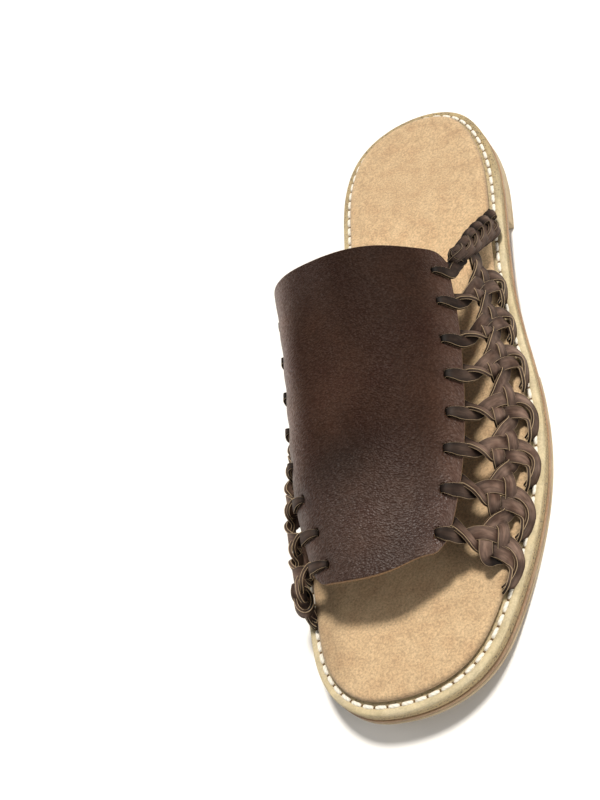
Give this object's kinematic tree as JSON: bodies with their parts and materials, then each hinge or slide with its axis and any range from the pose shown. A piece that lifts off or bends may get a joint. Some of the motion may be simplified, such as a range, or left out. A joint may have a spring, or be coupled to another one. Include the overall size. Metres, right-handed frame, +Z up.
{
  "type": "slide sandal",
  "caption": "Left leather slide sandal: open-toed vamp panel, laced along both sides with flat plaited lace to a stitched leather sole with a low heel.",
  "frame": {"origin": "on the ground, under the centre of the shoe's box", "axes": "+Y to the heel, -Y to the toe, +X to the outer side of the foot, +Z up"},
  "size_m": [0.1038, 0.2892, 0.0649],
  "materials": {
    "half_sole_leather": "matt, pale",
    "heel_leather": "matt, pale",
    "outsole_leather": "burnished edge",
    "midsole_leather": "raw, natural",
    "insole_suede": "suede nap",
    "vamp_leather": "fine grain, soft sheen",
    "lace_leather": "smooth, raw edges"
  },
  "bodies": {
    "root": {"half_sole": "half_sole_leather", "heel_lift": "heel_leather", "outsole": "outsole_leather", "midsole": "midsole_leather", "insole": "insole_suede", "vamp": "vamp_leather", "lacing_outer": "lace_leather", "lacing_inner": "lace_leather"}
  },
  "joints": []
}
